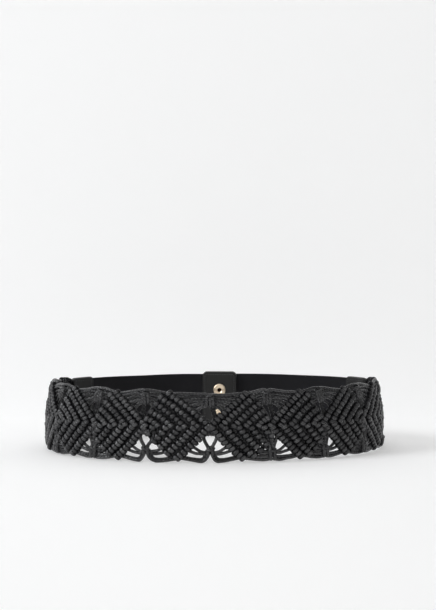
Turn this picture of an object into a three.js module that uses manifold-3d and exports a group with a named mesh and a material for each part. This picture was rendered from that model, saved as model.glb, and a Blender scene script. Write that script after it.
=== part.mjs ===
// A stretch belt, snapped shut and standing on its lower edge as an oval loop.
// Millimetres, +Z up. The front of the macrame panel faces -Y, the snap closure
// is at the back on +Y, and the origin lies on the ground at the middle of the loop.
import * as THREE from 'three';
import { mergeVertices } from 'three/addons/utils/BufferGeometryUtils.js';
import Module from 'manifold-3d';

// ---- driving dimensions ----
const LOOP = {            // oval that the middle of the belt follows, seen from above
  a: 151, b: 106.5,         // half width and half depth
  skewDeg: 7.9,             // the long axis is turned a little against the front
  flatHalf: 18,           // the stiff closure is straight this far to each side
  flatEnd: 80,            // and the band is back on the oval here
  centreY: -1.525,         // puts the middle of the whole outline over the origin
};
const PANEL = {
  height: 62,             // lower edge to upper edge
  half: 250.9,            // half length round the loop
  module: 55,             // nominal length of one diamond
  cells: 5,               // diamonds in each half
  back: -2.4,             // inner surface of the knotted diamonds
  groove: 1.6, crest: 3.0,// valleys and crests of the ribs on the outside
  net: 1.35,              // half thickness of the open-work cords
  knot: 2.1,              // half thickness of the gather knots
  slice: 55 / 3,             // longest straight step round the loop
};
const LEAN = { at: 22, above: 6.0, below: 1.5, front: 0.3 };   // the panel's edges draw in, most of all at the sides
const RIB = {
  upper: { deg: 39.5, u: 2, t: 31.5, step: 7.25, count: 7 },
  lower: { deg: -46.5, u: 4, t: 30.5, step: 8.2, count: 6 },
  crestHalf: 1.5,
};
const TAB = { mouth: 251.5, end: 277, height: 56.5, thick: 4.6, slot: 2.4, slotHeight: 54.6, corner: 3 };
const TONGUE = { length: 10, low: 5, high: 57, thick: 1.8 };
const ELASTIC = { width: 54, thick: 1.4, low: 3.8, tuck: 11, tuckClosure: 9.6 };
const CLOSURE = { width: 33, height: 58.4, low: 1.6, thick: 4.0, gap: 0.4, corner: 4.5,
                  pocket: 2.0, pocketHeight: 54.6, pocketDepth: 10.2 };
const SNAP = { z: [18.6, 42.6], flange: 6.0, postHole: 3.0, capHole: 4.1, sides: 16 };
const PASS = { from: 298, to: 387, offset: 2.2 };  // where the bands part to pass each other

// where each V between two diamonds meets the upper and the lower edge, measured
// round the loop from the front centre
const BOUNDARY = [
  { k: -5, top: -250.9, bottom: -250.9 },
  { k: -4, top: -200.6, bottom: -198.7 },
  { k: -3, top: -153.8, bottom: -148.8 },
  { k: -2, top: -106.0, bottom: -99.0 },
  { k: -1, top: -55.1, bottom: -56.0 },
  { k: 0, top: 0.0, bottom: 0.0 },
  { k: 1, top: 54.4, bottom: 48.9 },
  { k: 2, top: 104.9, bottom: 98.9 },
  { k: 3, top: 152.5, bottom: 147.2 },
  { k: 4, top: 201.3, bottom: 198.4 },
  { k: 5, top: 250.9, bottom: 250.9 },
];

// ---- the oval, measured by arc length from the front centre, +s towards +X ----
const ramp = (a, b, x) => {
  const k = Math.min(1, Math.max(0, (x - a) / (b - a)));
  return k * k * (3 - 2 * k);
};
function makeLoop() {
  const n = 2880, skew = THREE.MathUtils.degToRad(LOOP.skewDeg);
  const start = -Math.atan(LOOP.b * Math.tan(skew) / LOOP.a);
  const oval = (th) => {
    const x = LOOP.a * Math.sin(th), y = -LOOP.b * Math.cos(th);
    return [x * Math.cos(skew) - y * Math.sin(skew), x * Math.sin(skew) + y * Math.cos(skew)];
  };
  const yBack = oval(start + Math.PI)[1];
  const pts = [];
  for (let i = 0; i <= n; i++) {
    const [x, y0] = oval(start + (2 * Math.PI * i) / n);
    const flat = y0 > 0 ? 1 - ramp(LOOP.flatHalf, LOOP.flatEnd, Math.abs(x)) : 0;
    pts.push([x, y0 + (yBack - y0) * flat + LOOP.centreY]);
  }
  const len = [0];
  for (let i = 1; i <= n; i++) len.push(len[i - 1] + Math.hypot(pts[i][0] - pts[i - 1][0], pts[i][1] - pts[i - 1][1]));
  const total = len[n];
  const tangent = (i) => {
    const p = pts[(i - 1 + n) % n], q = pts[(i + 1) % n];
    const d = Math.hypot(q[0] - p[0], q[1] - p[1]);
    return [(q[0] - p[0]) / d, (q[1] - p[1]) / d];
  };
  const at = (sIn) => {
    const s = ((sIn % total) + total) % total;
    let lo = 0, hi = n;
    while (hi - lo > 1) { const m = (lo + hi) >> 1; if (len[m] <= s) lo = m; else hi = m; }
    const f = (s - len[lo]) / (len[hi] - len[lo]);
    const t0 = tangent(lo), t1 = tangent(hi % n);
    const tx = t0[0] + (t1[0] - t0[0]) * f, ty = t0[1] + (t1[1] - t0[1]) * f, d = Math.hypot(tx, ty);
    return { x: pts[lo][0] + (pts[hi][0] - pts[lo][0]) * f, y: pts[lo][1] + (pts[hi][1] - pts[lo][1]) * f,
             nx: ty / d, ny: -tx / d };
  };
  return { at, total, yBack: yBack + LOOP.centreY, toBack: (side) => (side > 0 ? len[n / 2] : total - len[n / 2]) };
}
const loop = makeLoop();

// ---- flat pattern -> loop ----
// The belt is laid out flat: u runs along it (a whole module for each diamond),
// t is the height and n the distance outwards from its middle surface.
function arcAt(u, t) {
  const reach = PANEL.module * PANEL.cells;
  if (Math.abs(u) >= reach) return Math.sign(u) * (PANEL.half + Math.abs(u) - reach);
  const k = Math.floor(u / PANEL.module + 1e-9), f = u / PANEL.module - k;
  const row = (i) => BOUNDARY[Math.min(BOUNDARY.length - 1, i + PANEL.cells)];
  const edge = (r) => r.bottom + (r.top - r.bottom) * (t / PANEL.height);
  return edge(row(k)) * (1 - f) + edge(row(k + 1)) * f;
}
const uOf = (s) => s + Math.sign(s) * (PANEL.module * PANEL.cells - PANEL.half);  // beyond the panel
function leanAt(s, t) {
  const side = (LEAN.front + (1 - LEAN.front) * ramp(60, 150, Math.abs(s))) * (1 - ramp(212, 248, Math.abs(s)));
  return side * (t > LEAN.at ? LEAN.above * ((t - LEAN.at) / 40) ** 2 : LEAN.below * ((LEAN.at - t) / LEAN.at) ** 2);
}
function wrap(u, t, n) {
  const s = arcAt(u, t);
  const pass = Math.sign(s) * PASS.offset * ramp(PASS.from, PASS.to, Math.abs(s)) - leanAt(s, t);
  const p = loop.at(s);
  return [p.x + p.nx * (n + pass), p.y + p.ny * (n + pass), t];
}

// ---- solids ----
const wasm = await Module();
wasm.setup();

function solid(geometry) {
  const g = geometry.index ? geometry.clone() : geometry;
  g.deleteAttribute('normal');
  g.deleteAttribute('uv');
  const m = mergeVertices(g, 1e-4);
  return new wasm.Manifold(new wasm.Mesh({
    numProp: 3,
    vertProperties: new Float32Array(m.attributes.position.array),
    triVerts: new Uint32Array(m.index.array),
  }));
}
function geometryOf(pos, tri) {
  const g = new THREE.BufferGeometry();
  g.setAttribute('position', new THREE.BufferAttribute(new Float32Array(pos.flat()), 3));
  g.setIndex(tri.flat());
  return g;
}
function readMesh(body) {
  const mesh = body.getMesh(), pos = [], tri = [];
  for (let i = 0; i < mesh.vertProperties.length; i += mesh.numProp) {
    pos.push([mesh.vertProperties[i], mesh.vertProperties[i + 1], mesh.vertProperties[i + 2]]);
  }
  for (let i = 0; i < mesh.triVerts.length; i += 3) tri.push([mesh.triVerts[i], mesh.triVerts[i + 1], mesh.triVerts[i + 2]]);
  return { pos, tri };
}
function outline(points, turn = 1) {              // counter-clockwise, or clockwise for a hole
  const area = points.reduce((sum, [x, y], i) => {
    const [x1, y1] = points[(i + 1) % points.length];
    return sum + x * y1 - x1 * y;
  }, 0);
  const s = new THREE.Shape(), list = area * turn > 0 ? points : [...points].reverse();
  list.forEach(([x, y], i) => (i ? s.lineTo(x, y) : s.moveTo(x, y)));
  s.closePath();
  return s;
}
function plate(points, from, to, holes = []) {
  const s = outline(points);
  for (const h of holes) s.holes.push(outline(h, -1));
  const g = new THREE.ExtrudeGeometry(s, { depth: to - from, bevelEnabled: false });
  g.translate(0, 0, from);
  return solid(g);
}
const flipped = (list) => list.map(([x, y]) => [-x, y]);
const upended = (list) => list.map(([x, y]) => [x, PANEL.height - y]);

// cuts every triangle at the planes u = i * step, so that the flat solid can bend there
function slice(pos, tri, step) {
  const near = 0.08;
  for (const p of pos) {
    const k = Math.round(p[0] / step) * step;
    if (Math.abs(p[0] - k) < near) p[0] = k;
  }
  const cuts = new Map(), out = [];
  const edge = (i, j) => {                                // the cut points from i to j, in order
    const [a, b] = i < j ? [i, j] : [j, i], key = `${a}_${b}`;
    if (!cuts.has(key)) {
      const [lo, hi] = pos[a][0] < pos[b][0] ? [pos[a], pos[b]] : [pos[b], pos[a]], list = [];
      for (let k = Math.floor(lo[0] / step + 1e-6) + 1; k * step < hi[0] - 1e-6; k++) {
        const f = (k * step - lo[0]) / (hi[0] - lo[0]);
        pos.push([k * step, lo[1] + (hi[1] - lo[1]) * f, lo[2] + (hi[2] - lo[2]) * f]);
        list.push(pos.length - 1);
      }
      cuts.set(key, lo === pos[a] ? list : list.reverse());
    }
    return i < j ? cuts.get(key) : [...cuts.get(key)].reverse();
  };
  for (const t of tri) {
    const walk = [];
    for (let e = 0; e < 3; e++) walk.push(t[e], ...edge(t[e], t[(e + 1) % 3]));
    const us = t.map((i) => pos[i][0]), lo = Math.min(...us), hi = Math.max(...us);
    for (let k = Math.floor(lo / step + 1e-6); k * step < hi - 1e-6 || k * step <= lo; k++) {
      const poly = walk.filter((i) => pos[i][0] >= k * step - 1e-6 && pos[i][0] <= (k + 1) * step + 1e-6);
      for (let i = 1; i + 1 < poly.length; i++) out.push([poly[0], poly[i], poly[i + 1]]);
      if (hi - lo < 1e-6) break;
    }
  }
  return out;
}
function bend(body, step = PANEL.slice) {
  const { pos, tri } = readMesh(body), cut = slice(pos, tri, step);
  const bent = geometryOf(pos.map(([u, t, n]) => wrap(u, t, n)), cut);
  const clean = readMesh(solid(bent).simplify(0.07));
  return geometryOf(clean.pos, clean.tri);
}

// ---- macrame panel ----
// Half a diamond, from its inner neck at u = 0 to its outer corner at u = module
const UPPER = [[0, 31], [55, 31], [55, 41], [48.5, 52], [37.5, 62], [31, 62], [0, 36]];
const LOWER = [[0, 31], [0, 26.5], [28.5, 0], [34.5, 0], [44, 11.5], [55, 24.5], [55, 31]];

function ribbed(rib, points) {
  const dir = THREE.MathUtils.degToRad(rib.deg), sign = Math.sign(rib.deg);
  const v = (j) => -sign * j * rib.step, half = rib.step / 2, row = [];
  for (let j = 0; j < rib.count; j++) {
    row.push([v(j) + sign * half, PANEL.groove]);
    row.push([v(j) + sign * RIB.crestHalf, PANEL.crest]);
    row.push([v(j) - sign * RIB.crestHalf, PANEL.crest]);
  }
  row.push([v(rib.count - 1) - sign * half, PANEL.groove]);
  row.push([v(rib.count - 1) - sign * half, PANEL.back], [v(0) + sign * half, PANEL.back]);
  const g = new THREE.ExtrudeGeometry(outline(row), { depth: 120, bevelEnabled: false });
  g.translate(0, 0, -40);
  g.applyMatrix4(new THREE.Matrix4().makeBasis(
    new THREE.Vector3(-Math.sin(dir), Math.cos(dir), 0),
    new THREE.Vector3(0, 0, 1),
    new THREE.Vector3(Math.cos(dir), Math.sin(dir), 0)));
  g.translate(rib.u, rib.t, 0);
  return solid(g).intersect(plate(points, PANEL.back - 1, PANEL.crest + 1));
}

// Open-work below a neck: the start edge of a diamond on the left, the first rib
// of the next one on the right. Upper open-work is the same, turned upside down.
const NET = [[-22, 1.2], [-2.6, 1], [0, 4.8], [2.6, 1], [28, 1.2], [22, 9], [4, 27], [-4, 27], [-14, 13]];
const NET_HOLES = {
  middle: [[-4.4, 22.6], [4.4, 22.6], [0.9, 15], [-0.9, 15]],
  side: [[4.9, 12.6], [8, 18], [10.6, 16.4], [9.4, 11.6]],
  foot: [[4.9, 7.7], [15.5, 8], [17, 4.6], [4.9, 4.2]],
  sideStart: [[-4.9, 11.4], [-8.6, 12], [-8, 15.4], [-5.6, 14.8]],
  footStart: [[-4.9, 4.2], [-14, 4.4], [-12.6, 7.2], [-4.9, 7.6]],
};
const KNOT = [[-4, 1.2], [-2.4, 0.8], [0, 4.8], [2.4, 0.8], [4, 1.2], [4, 12.4], [1.6, 14.6], [-1.6, 14.6], [-4, 12.4]];

function openWork(both) {
  const hole = NET_HOLES, net = both ? [[-28, 1.2], ...NET.slice(1, 7), [-4, 27], [-22, 9]] : NET;
  const holes = both
    ? [hole.middle, hole.side, hole.foot, flipped(hole.side), flipped(hole.foot)]
    : [hole.middle, hole.side, hole.foot, hole.sideStart, hole.footStart];
  const parts = [];
  for (const turn of [(p) => p, upended]) {
    parts.push(plate(turn(net), -PANEL.net, PANEL.net, holes.map(turn)));
    parts.push(plate(turn(KNOT), -PANEL.knot, PANEL.knot));
  }
  return parts.reduce((a, b) => a.add(b));
}
function macramePanel() {
  const cell = ribbed(RIB.upper, UPPER).add(ribbed(RIB.lower, LOWER));
  const between = openWork(false), reach = PANEL.module * PANEL.cells;
  let half = null;
  const put = (body) => { half = half ? half.add(body) : body; };
  for (let k = 0; k < PANEL.cells; k++) {
    put(cell.translate([k * PANEL.module, 0, 0]));
    if (k > 0) put(between.translate([k * PANEL.module, 0, 0]));
  }
  // cords running together into the end tab, and their ends tucked inside it
  put(plate([[reach - 26, 61.4], [reach - 19, 61.4], [reach, 57], [reach, 5], [reach - 19, 0.8], [reach - 26, 0.8]],
    -PANEL.net, PANEL.net));
  put(plate([[reach - 5, TONGUE.low], [reach + TONGUE.length, TONGUE.low], [reach + TONGUE.length, TONGUE.high], [reach - 5, TONGUE.high]],
    -TONGUE.thick / 2, TONGUE.thick / 2));
  return half.add(half.mirror([1, 0, 0])).add(openWork(true)).simplify(0.01);
}

// ---- end tabs: flat sleeves round the cords' ends and the elastic's end ----
function roundedRect(x0, y0, x1, y1, r, steps = 3) {
  const list = [];
  for (const [cx, cy, a0] of [[x1 - r, y0 + r, -90], [x1 - r, y1 - r, 0], [x0 + r, y1 - r, 90], [x0 + r, y0 + r, 180]]) {
    for (let i = 0; i <= steps; i++) {
      const a = THREE.MathUtils.degToRad(a0 + (90 * i) / steps);
      list.push([cx + r * Math.cos(a), cy + r * Math.sin(a)]);
    }
  }
  return list;
}
function endTab(side) {
  const low = PANEL.height / 2 - TAB.height / 2, slotLow = PANEL.height / 2 - TAB.slotHeight / 2;
  const u0 = uOf(TAB.mouth), u1 = uOf(TAB.end);
  const body = plate(roundedRect(u0, low, u1, low + TAB.height, TAB.corner), -TAB.thick / 2, TAB.thick / 2);
  const slot = plate([[u0 - 5, slotLow], [u1 + 5, slotLow], [u1 + 5, slotLow + TAB.slotHeight], [u0 - 5, slotLow + TAB.slotHeight]],
    -TAB.slot / 2, TAB.slot / 2);
  const sleeve = body.subtract(slot);
  return bend(side > 0 ? sleeve : sleeve.mirror([1, 0, 0]), PANEL.slice / 3);
}

// ---- elastic halves ----
function elastic(side) {
  const s0 = TAB.end - ELASTIC.tuck, s1 = loop.toBack(side) - CLOSURE.width / 2 + ELASTIC.tuckClosure;
  const u0 = uOf(s0), u1 = uOf(s1);
  const band = plate([[u0, ELASTIC.low], [u1, ELASTIC.low], [u1, ELASTIC.low + ELASTIC.width], [u0, ELASTIC.low + ELASTIC.width]],
    -ELASTIC.thick / 2, ELASTIC.thick / 2);
  return bend(side > 0 ? band : band.mirror([1, 0, 0]), 8);
}

// ---- closure tabs: flat plates in the plane of the back, w outwards ----
const standUp = (g) => g.applyMatrix4(new THREE.Matrix4().makeBasis(      // (x, z, w) -> (x, y, z)
  new THREE.Vector3(-1, 0, 0), new THREE.Vector3(0, 0, 1), new THREE.Vector3(0, 1, 0))).translate(0, loop.yBack, 0);
function closureTab(outer) {
  const half = CLOSURE.width / 2, side = outer ? -1 : 1;         // outlines are drawn seen from outside
  const from = outer ? CLOSURE.gap / 2 : -CLOSURE.gap / 2 - CLOSURE.thick, to = from + CLOSURE.thick;
  const hole = outer ? SNAP.capHole : SNAP.postHole;
  const ring = (z) => {
    const list = [];
    for (let i = 0; i < SNAP.sides; i++) {
      const a = (2 * Math.PI * i) / SNAP.sides;
      list.push([hole * Math.cos(a), z + hole * Math.sin(a)]);
    }
    return list;
  };
  const body = plate(roundedRect(-half, CLOSURE.low, half, CLOSURE.low + CLOSURE.height, CLOSURE.corner), from, to, SNAP.z.map(ring));
  const mid = CLOSURE.low + CLOSURE.height / 2, ph = CLOSURE.pocketHeight / 2, w = (from + to) / 2;
  const x0 = side * (half - CLOSURE.pocketDepth), x1 = side * (half + 3);
  const pocket = plate([[Math.min(x0, x1), mid - ph], [Math.max(x0, x1), mid - ph], [Math.max(x0, x1), mid + ph], [Math.min(x0, x1), mid + ph]],
    w - CLOSURE.pocket / 2, w + CLOSURE.pocket / 2);
  const { pos, tri } = readMesh(body.subtract(pocket));
  return standUp(geometryOf(pos, tri));
}

// ---- press snaps, turned about their own axis, w outwards ----
// profiles run from the axis out and back to it as [radius, w]
const POST = [[0, 1.2], [1.8, 1.2], [1.8, -5.6], [2.6, -5.9], [5.2, -5.7], [6, -5.0], [6, -4.5], [2.7, -4.5],
  [2.7, 0.6], [2.5, 0.9], [2.5, 2.4], [2.1, 2.9], [0, 2.9]];
const CAP = [[0, 3.4], [2.9, 3.4], [2.9, 0.5], [3.8, 0.5], [3.8, 4.5], [6, 4.5], [6, 5.1], [5, 5.8], [2.8, 6.3], [0, 6.5]];
function snap(profile, z) {
  const g = new THREE.LatheGeometry(profile.map(([r, w]) => new THREE.Vector2(r, w)), SNAP.sides);
  g.deleteAttribute('normal');
  g.deleteAttribute('uv');
  const m = mergeVertices(g, 1e-4);
  const pos = [], idx = m.index.array, p = m.attributes.position;
  for (let i = 0; i < p.count; i++) pos.push([p.getX(i), p.getY(i), p.getZ(i)]);
  let tri = [], volume = 0;
  for (let i = 0; i < idx.length; i += 3) {
    const t = [idx[i], idx[i + 1], idx[i + 2]];
    if (new Set(t).size === 3) tri.push(t);
  }
  for (const [a, b, c] of tri) {
    const A = new THREE.Vector3(...pos[a]), B = new THREE.Vector3(...pos[b]), C = new THREE.Vector3(...pos[c]);
    volume += A.dot(B.cross(C));
  }
  if (volume < 0) tri = tri.map(([a, b, c]) => [a, c, b]);
  return geometryOf(pos, tri).translate(0, loop.yBack, z);        // the lathe axis is already the belt's Y
}

// ---- the belt ----
const finish = {
  cord: { color: 0x29292c, roughness: 0.55, metalness: 0 },
  elastic: { color: 0x202024, roughness: 0.9, metalness: 0 },
  leather: { color: 0x2b2b2c, roughness: 0.62, metalness: 0 },
  gold: { color: 0xe0bd8c, roughness: 0.28, metalness: 1 },
};
const group = new THREE.Group();
function add(name, geometry, look) {
  const mesh = new THREE.Mesh(geometry, new THREE.MeshStandardMaterial(finish[look]));
  mesh.name = name;
  group.add(mesh);
}
add('macrame_panel', bend(macramePanel()), 'cord');
add('end_tab_left', endTab(-1), 'leather');
add('end_tab_right', endTab(1), 'leather');
add('elastic_left', elastic(-1), 'elastic');
add('elastic_right', elastic(1), 'elastic');
add('closure_tab_inner', closureTab(false), 'leather');
add('closure_tab_outer', closureTab(true), 'leather');
for (const [i, level] of ['lower', 'upper'].entries()) {
  add(`snap_post_${level}`, snap(POST, SNAP.z[i]), 'gold');
  add(`snap_cap_${level}`, snap(CAP, SNAP.z[i]), 'gold');
}

export default group;
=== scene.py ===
import math

import bpy
import numpy as np
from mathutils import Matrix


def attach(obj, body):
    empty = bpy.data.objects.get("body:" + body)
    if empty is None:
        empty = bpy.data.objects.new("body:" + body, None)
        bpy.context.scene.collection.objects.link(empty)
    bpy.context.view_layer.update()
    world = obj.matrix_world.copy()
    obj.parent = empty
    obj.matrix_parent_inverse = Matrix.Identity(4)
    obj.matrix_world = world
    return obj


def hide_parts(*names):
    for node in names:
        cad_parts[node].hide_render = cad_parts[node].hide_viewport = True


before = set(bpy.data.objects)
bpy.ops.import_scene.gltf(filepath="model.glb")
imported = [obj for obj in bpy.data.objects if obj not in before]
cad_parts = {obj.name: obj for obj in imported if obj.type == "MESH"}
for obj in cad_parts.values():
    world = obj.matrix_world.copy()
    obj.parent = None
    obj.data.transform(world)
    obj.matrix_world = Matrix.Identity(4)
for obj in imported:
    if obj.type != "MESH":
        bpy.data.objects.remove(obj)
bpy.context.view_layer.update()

MM = 0.001
rng = np.random.RandomState(4107)

# ------------------------------------------------------------------ the oval
# The same curve as the CAD: arc length s from the front centre, +s towards +X.
LOOP_A, LOOP_B, LOOP_SKEW = 151.0, 106.5, 7.9
FLAT_HALF, FLAT_END, CENTRE_Y = 18.0, 80.0, -1.525
HEIGHT, HALF, MODULE, CELLS = 62.0, 250.9, 55.0, 5
LEAN_AT, LEAN_ABOVE, LEAN_BELOW, LEAN_FRONT = 22.0, 6.0, 1.5, 0.3
REACH = MODULE * CELLS
PASS_FROM, PASS_TO, PASS_OFFSET = 298.0, 387.0, 2.2
BOUNDARY = np.array([
    [-250.9, -250.9], [-200.6, -198.7], [-153.8, -148.8], [-106.0, -99.0], [-55.1, -56.0], [0.0, 0.0],
    [54.4, 48.9], [104.9, 98.9], [152.5, 147.2], [201.3, 198.4], [250.9, 250.9]])


def ramp(a, b, x):
    k = np.clip((np.asarray(x, float) - a) / (b - a), 0.0, 1.0)
    return k * k * (3 - 2 * k)


def make_loop():
    n = 2880
    skew = math.radians(LOOP_SKEW)
    start = -math.atan(LOOP_B * math.tan(skew) / LOOP_A)
    th = start + 2 * math.pi * np.arange(n + 1) / n

    def oval(th):
        x, y = LOOP_A * np.sin(th), -LOOP_B * np.cos(th)
        return x * math.cos(skew) - y * math.sin(skew), x * math.sin(skew) + y * math.cos(skew)

    y_back = float(oval(start + math.pi)[1])
    x, y = oval(th)
    flat = np.where(y > 0, 1 - ramp(FLAT_HALF, FLAT_END, np.abs(x)), 0.0)
    y = y + (y_back - y) * flat + CENTRE_Y
    length = np.concatenate([[0.0], np.cumsum(np.hypot(np.diff(x), np.diff(y)))])
    px, py = np.concatenate([[x[-2]], x, [x[1]]]), np.concatenate([[y[-2]], y, [y[1]]])
    tx, ty = px[2:] - px[:-2], py[2:] - py[:-2]
    d = np.hypot(tx, ty)
    return dict(x=x, y=y, len=length, total=length[-1], tx=tx / d, ty=ty / d, back=y_back + CENTRE_Y,
                right=length[n // 2], left=length[-1] - length[n // 2])


loop = make_loop()


def loop_at(s):
    s = np.mod(np.asarray(s, float), loop["total"])
    x, y = np.interp(s, loop["len"], loop["x"]), np.interp(s, loop["len"], loop["y"])
    tx, ty = np.interp(s, loop["len"], loop["tx"]), np.interp(s, loop["len"], loop["ty"])
    d = np.hypot(tx, ty)
    return x, y, ty / d, -tx / d


def arc_at(u, t):
    u, t = np.broadcast_arrays(np.asarray(u, float), np.asarray(t, float))
    k = np.clip(np.floor(u / MODULE + 1e-9), -CELLS, CELLS - 1).astype(int)
    f = u / MODULE - k
    rows = BOUNDARY[:, 0][:, None] * 0 + BOUNDARY
    e0 = rows[k + CELLS, 0] + (rows[k + CELLS, 1] - rows[k + CELLS, 0]) * t / HEIGHT
    e1 = rows[k + CELLS + 1, 0] + (rows[k + CELLS + 1, 1] - rows[k + CELLS + 1, 0]) * t / HEIGHT
    inside = e0 * (1 - f) + e1 * f
    outside = np.sign(u) * (HALF + np.abs(u) - REACH)
    return np.where(np.abs(u) >= REACH, outside, inside)


def u_of(s):
    return s + np.sign(s) * (REACH - HALF)


def lean_at(s, t):
    """How far the panel's edges draw in towards the middle of the loop."""
    side = (LEAN_FRONT + (1 - LEAN_FRONT) * ramp(60, 150, np.abs(s))) * (1 - ramp(212, 248, np.abs(s)))
    over = LEAN_ABOVE * (np.maximum(t - LEAN_AT, 0) / 40) ** 2
    return side * (over + LEAN_BELOW * (np.maximum(LEAN_AT - t, 0) / LEAN_AT) ** 2)


def place(s, t, n):
    """Arc length, height and distance outwards -> metres in the row frame, and the outward normal."""
    s, t, n = np.broadcast_arrays(np.asarray(s, float), np.asarray(t, float), np.asarray(n, float))
    shift = np.sign(s) * PASS_OFFSET * ramp(PASS_FROM, PASS_TO, np.abs(s)) - lean_at(s, t)
    x, y, nx, ny = loop_at(s)
    p = np.stack([x + nx * (n + shift), y + ny * (n + shift), t], axis=-1) * MM
    return p, np.stack([nx, ny, np.zeros_like(nx)], axis=-1)


def wrap(u, t, n):
    return place(arc_at(u, t), t, n)


def unit(v):
    return v / np.maximum(np.linalg.norm(v, axis=-1, keepdims=True), 1e-12)


# ------------------------------------------------------------------ mesh gathering
class Soup:
    """Gathers many small shapes into one mesh, with UVs along and around each strand and a shade for each."""

    def __init__(self):
        self.v, self.q, self.uv, self.shade, self.t, self.tuv, self.n = [], [], [], [], [], [], 0

    def grid(self, p, close_a=False, close_b=True, shade=0.5, along=None, caps=False):
        """p is (items, rows, columns, 3); rows run along a strand and columns round it."""
        p = np.asarray(p, float)
        if p.ndim == 3:
            p = p[None]
        w, a, b, _ = p.shape
        shade = np.asarray(shade, float)
        sh = shade.reshape(w, a * b) if shade.size == w * a * b else np.broadcast_to(shade.reshape(-1, 1), (w, a * b))
        ia = np.arange(a if close_a else a - 1)
        ib = np.arange(b if close_b else b - 1)
        i, j = [g.ravel() for g in np.meshgrid(ia, ib, indexing="ij")]
        i1, j1 = (i + 1) % a, (j + 1) % b
        base = np.stack([i * b + j, i1 * b + j, i1 * b + j1, i * b + j1], axis=1)
        q = (base[None] + (np.arange(w) * a * b)[:, None, None]).reshape(-1, 4) + self.n
        if along is None:
            along = np.arange(a + 1, dtype=float)
        along = np.asarray(along, float)
        around = np.arange(b + 1) / b
        nxt = i + 1
        uv = np.stack([
            np.stack([along[i], around[j]], 1), np.stack([along[nxt], around[j]], 1),
            np.stack([along[nxt], around[j + 1]], 1), np.stack([along[i], around[j + 1]], 1)], axis=1)
        uv = np.array(np.broadcast_to(uv[None], (w,) + uv.shape))
        # every item faces outwards: the sign of its volume decides which way its faces turn
        flat = p.reshape(w, -1, 3) - p.reshape(w, -1, 3).mean(1, keepdims=True)
        c0, c1, c2, c3 = [flat[:, base[:, m]] for m in range(4)]
        volume = (np.einsum("wfi,wfi->w", c0, np.cross(c1, c2)) + np.einsum("wfi,wfi->w", c0, np.cross(c2, c3)))
        turned = volume < 0
        q = q.reshape(w, -1, 4)
        q[turned] = q[turned][:, :, ::-1]
        uv[turned] = uv[turned][:, :, ::-1]
        q, uv = q.reshape(-1, 4), uv.reshape(-1, 4, 2)
        self.v.append(p.reshape(-1, 3))
        self.shade.append(sh.reshape(-1))
        self.q.append(q)
        self.uv.append(uv)
        start = self.n
        self.n += w * a * b
        if caps and not close_a:
            for k in range(w):
                for row, turn in ((0, False), (a - 1, True)):
                    ring = start + k * a * b + row * b + np.arange(b)
                    c = p[k, row].mean(0)
                    self.v.append(c[None])
                    self.shade.append(np.array([float(sh[k, 0])]))
                    m = self.n
                    self.n += 1
                    nxt_ring = np.roll(ring, -1)
                    tri = np.stack([np.full(b, m), ring, nxt_ring], 1)
                    if turn == turned[k]:
                        tri = tri[:, ::-1]
                    self.t.append(tri)
                    self.tuv.append(np.full((b, 3, 2), 0.25) + np.array([along[min(row, len(along) - 1)], 0]))
        return self

    def make(self, name, material, slot, *nodes, body="root", smooth=True):
        v = np.concatenate(self.v)
        q = np.concatenate(self.q) if self.q else np.zeros((0, 4), int)
        t = np.concatenate(self.t) if self.t else np.zeros((0, 3), int)
        uq = np.concatenate(self.uv).reshape(-1, 2) if self.uv else np.zeros((0, 2))
        ut = np.concatenate(self.tuv).reshape(-1, 2) if self.tuv else np.zeros((0, 2))
        me = bpy.data.meshes.new(name)
        me.vertices.add(len(v))
        me.vertices.foreach_set("co", v.astype(np.float32).ravel())
        loops = np.concatenate([q.ravel(), t.ravel()]).astype(np.int32)
        me.loops.add(len(loops))
        me.loops.foreach_set("vertex_index", loops)
        starts = np.concatenate([np.arange(len(q)) * 4, len(q) * 4 + np.arange(len(t)) * 3]).astype(np.int32)
        me.polygons.add(len(starts))
        me.polygons.foreach_set("loop_start", starts)
        me.update(calc_edges=True)
        layer = me.uv_layers.new(name="strand")
        layer.data.foreach_set("uv", np.concatenate([uq, ut]).astype(np.float32).ravel())
        shade = me.attributes.new("shade", "FLOAT", "POINT")
        shade.data.foreach_set("value", np.concatenate(self.shade).astype(np.float32))
        me.validate()
        me.polygons.foreach_set("use_smooth", np.full(len(me.polygons), smooth))
        me.materials.append(material)
        obj = bpy.data.objects.new(name, me)
        bpy.context.scene.collection.objects.link(obj)
        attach(obj, body)
        if nodes:
            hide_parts(*nodes)
        return obj


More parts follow.
